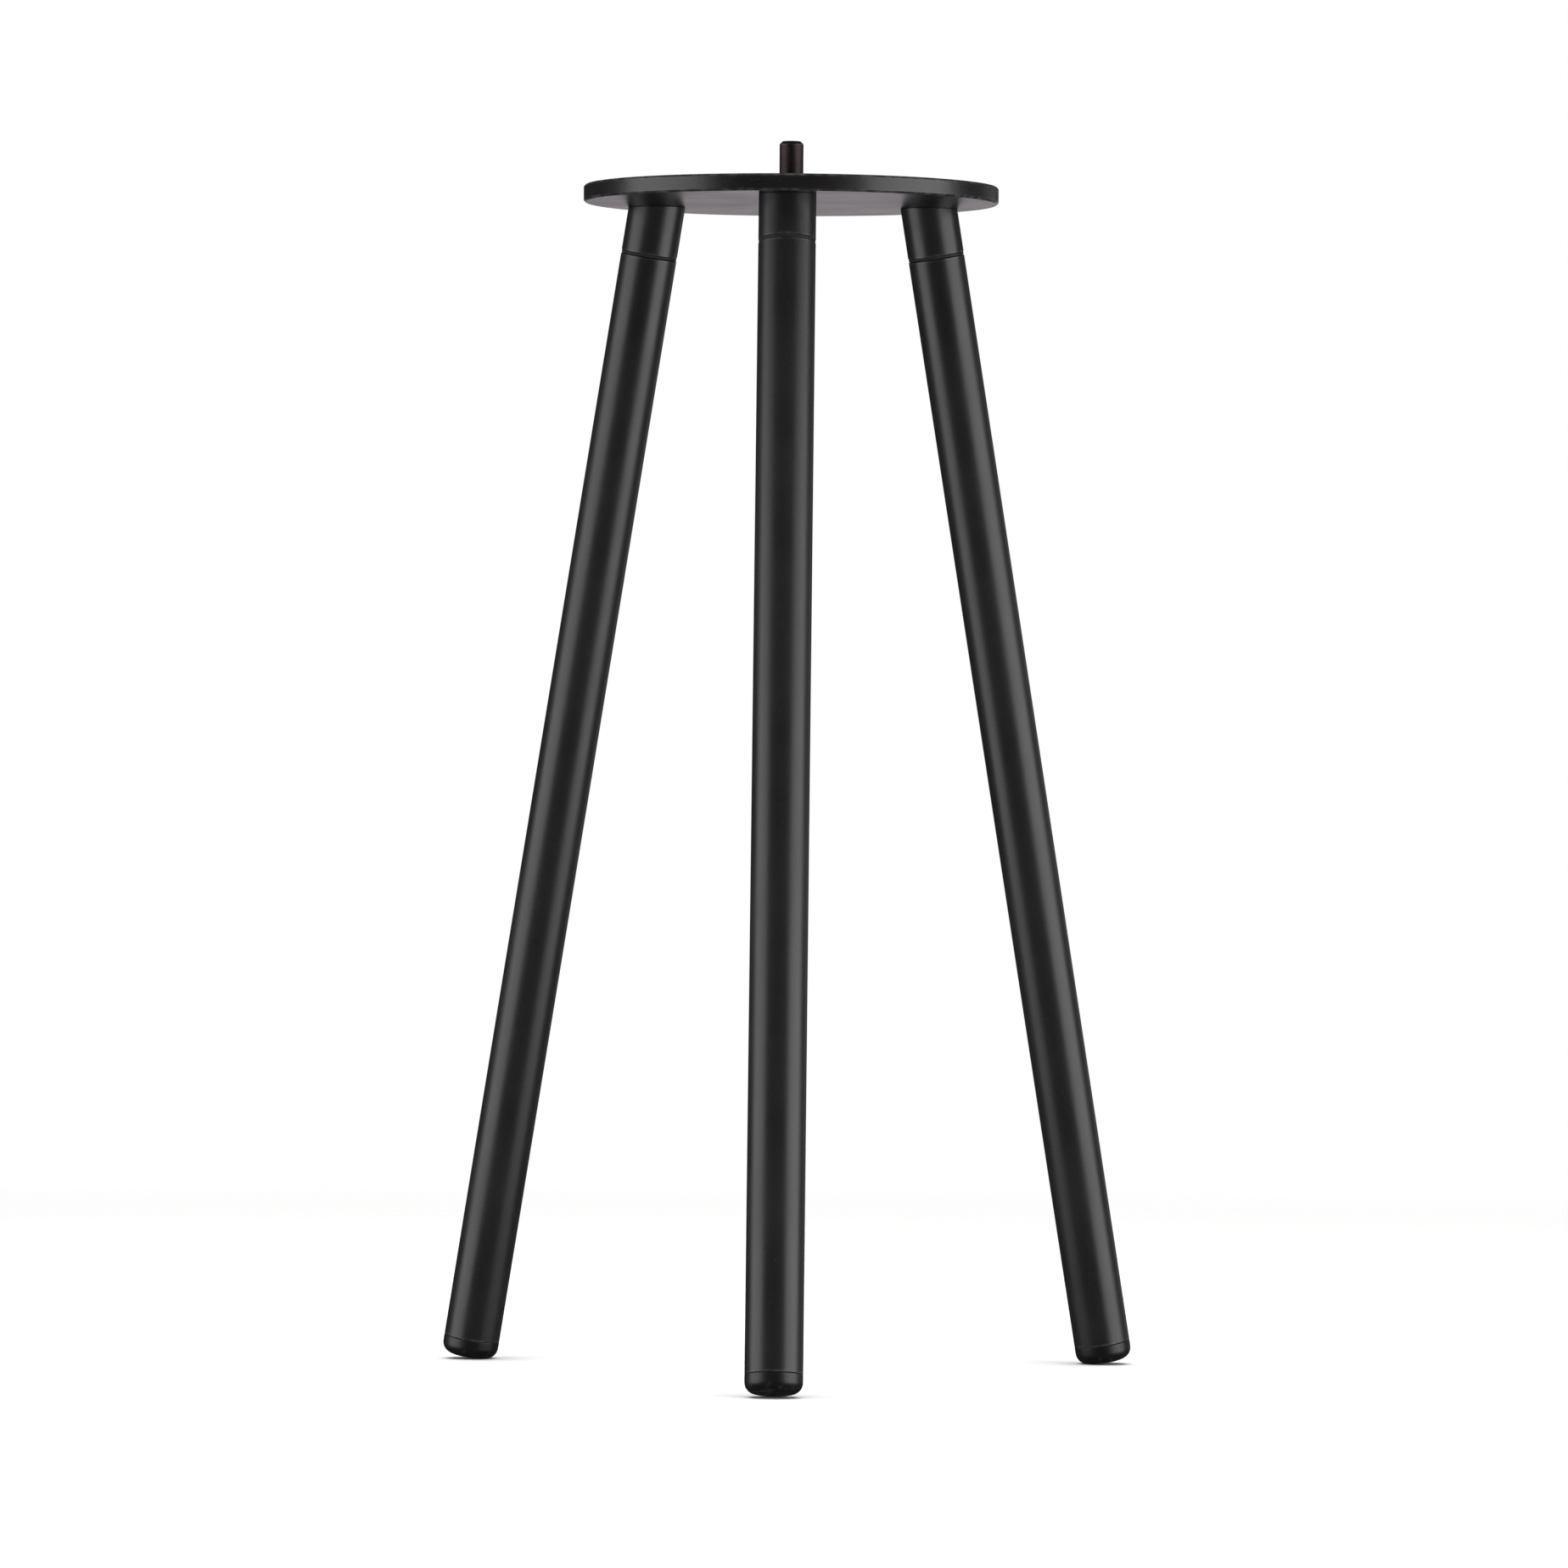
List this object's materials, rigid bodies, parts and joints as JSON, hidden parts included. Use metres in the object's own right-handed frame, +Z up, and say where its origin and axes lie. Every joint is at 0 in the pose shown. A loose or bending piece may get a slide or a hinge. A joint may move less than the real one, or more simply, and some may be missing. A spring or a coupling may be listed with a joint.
{
  "type": "tripod stand",
  "caption": "Low field tripod: a round black plate with an upright smooth stud, on splayed tubular legs that unscrew from slanted sockets and end in rounded plastic feet.",
  "frame": {"origin": "centre of the plate's top face, at the foot of the device stud", "axes": "+Z up along the stud; leg 1 leans towards -Y, legs 2 and 3 follow at 120 degree steps counter-clockwise from above"},
  "size_m": [0.1858, 0.1629, 0.3264],
  "materials": {
    "head_coat": "satin black powder coat",
    "leg_coat": "satin black powder coat",
    "black_oxide_steel": "black oxide",
    "bright_steel": "zinc plated",
    "foot_plastic": "moulded matte black",
    "washer_rubber": "matte black"
  },
  "bodies": {
    "stand_head": {"top_plate": "head_coat", "mount_stud": "black_oxide_steel", "socket_screws": "black_oxide_steel", "socket_dowels": "bright_steel", "socket_1": "head_coat", "socket_2": "head_coat", "socket_3": "head_coat"},
    "washer_1": {"seat_washer_1": "washer_rubber"},
    "leg_1": {"leg_tube_1": "leg_coat", "leg_plug_1": "bright_steel", "leg_stud_1": "bright_steel", "foot_cap_1": "foot_plastic"},
    "washer_2": {"seat_washer_2": "washer_rubber"},
    "leg_2": {"leg_tube_2": "leg_coat", "leg_plug_2": "bright_steel", "leg_stud_2": "bright_steel", "foot_cap_2": "foot_plastic"},
    "washer_3": {"seat_washer_3": "washer_rubber"},
    "leg_3": {"leg_tube_3": "leg_coat", "leg_plug_3": "bright_steel", "leg_stud_3": "bright_steel", "foot_cap_3": "foot_plastic"}
  },
  "joints": [
    {"name": "leg_1_advance", "type": "slide", "parent": "stand_head", "child": "washer_1", "axis": [0, -0.1822, -0.9833], "range_m": [0, 0.00688]},
    {"name": "leg_1_turn", "type": "hinge", "parent": "washer_1", "child": "leg_1", "pos_m": [0, -0.042, -0.0045], "axis": [0, -0.1822, -0.9833], "range_deg": [0, 1980]},
    {"name": "leg_2_advance", "type": "slide", "parent": "stand_head", "child": "washer_2", "axis": [0.1578, 0.0911, -0.9833], "range_m": [0, 0.00688]},
    {"name": "leg_2_turn", "type": "hinge", "parent": "washer_2", "child": "leg_2", "pos_m": [0.03637, 0.021, -0.0045], "axis": [0.1578, 0.0911, -0.9833], "range_deg": [0, 1980]},
    {"name": "leg_3_advance", "type": "slide", "parent": "stand_head", "child": "washer_3", "axis": [-0.1578, 0.0911, -0.9833], "range_m": [0, 0.00688]},
    {"name": "leg_3_turn", "type": "hinge", "parent": "washer_3", "child": "leg_3", "pos_m": [-0.03637, 0.021, -0.0045], "axis": [-0.1578, 0.0911, -0.9833], "range_deg": [0, 1980]}
  ],
  "couplings": [
    {"joint": "leg_1_turn", "follows": "leg_1_advance", "rad_per_m": 5026.5},
    {"joint": "leg_2_turn", "follows": "leg_2_advance", "rad_per_m": 5026.5},
    {"joint": "leg_3_turn", "follows": "leg_3_advance", "rad_per_m": 5026.5}
  ]
}
